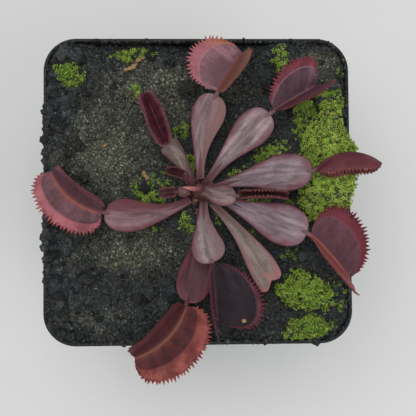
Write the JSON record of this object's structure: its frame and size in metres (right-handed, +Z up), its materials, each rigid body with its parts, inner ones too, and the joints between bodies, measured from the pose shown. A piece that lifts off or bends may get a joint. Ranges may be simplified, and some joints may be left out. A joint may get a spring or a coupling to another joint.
{
  "type": "potted venus flytrap",
  "caption": "Red Venus flytrap with open toothed traps, growing as a flat rosette from mossy soil in a square black nursery pot.",
  "frame": {"origin": "middle of the flat underside of the pot, on the surface that it stands on", "axes": "+Z up; +X to the plant's right and +Y to its back, with the pot's sides along X and Y"},
  "size_m": [0.0891, 0.0892, 0.0885],
  "materials": {
    "pot_plastic": "black moulded polypropylene, matte with a faint sheen",
    "potting_soil": "dark crumbly peat, grit and sand",
    "moss_green": "low tufted moss",
    "rhizome": "satin plant tissue",
    "leaf_tissue": "satin mauve to maroon plant tissue",
    "young_leaf_tissue": "satin dark maroon plant tissue"
  },
  "bodies": {
    "root": {"pot": "pot_plastic", "soil": "potting_soil", "moss_right": "moss_green", "moss_front_right": "moss_green", "moss_front_corner": "moss_green", "moss_back_left": "moss_green", "crown": "rhizome", "leaf_back": "leaf_tissue", "leaf_back_right": "leaf_tissue", "leaf_right": "leaf_tissue", "leaf_front_right": "leaf_tissue", "leaf_front_bare": "leaf_tissue", "leaf_front": "leaf_tissue", "leaf_front_left": "leaf_tissue", "leaf_left": "leaf_tissue", "leaf_back_left": "leaf_tissue", "leaf_young_right": "young_leaf_tissue", "leaf_young_dark": "young_leaf_tissue", "leaf_young_striped": "young_leaf_tissue", "leaf_bud": "young_leaf_tissue"}
  },
  "joints": []
}
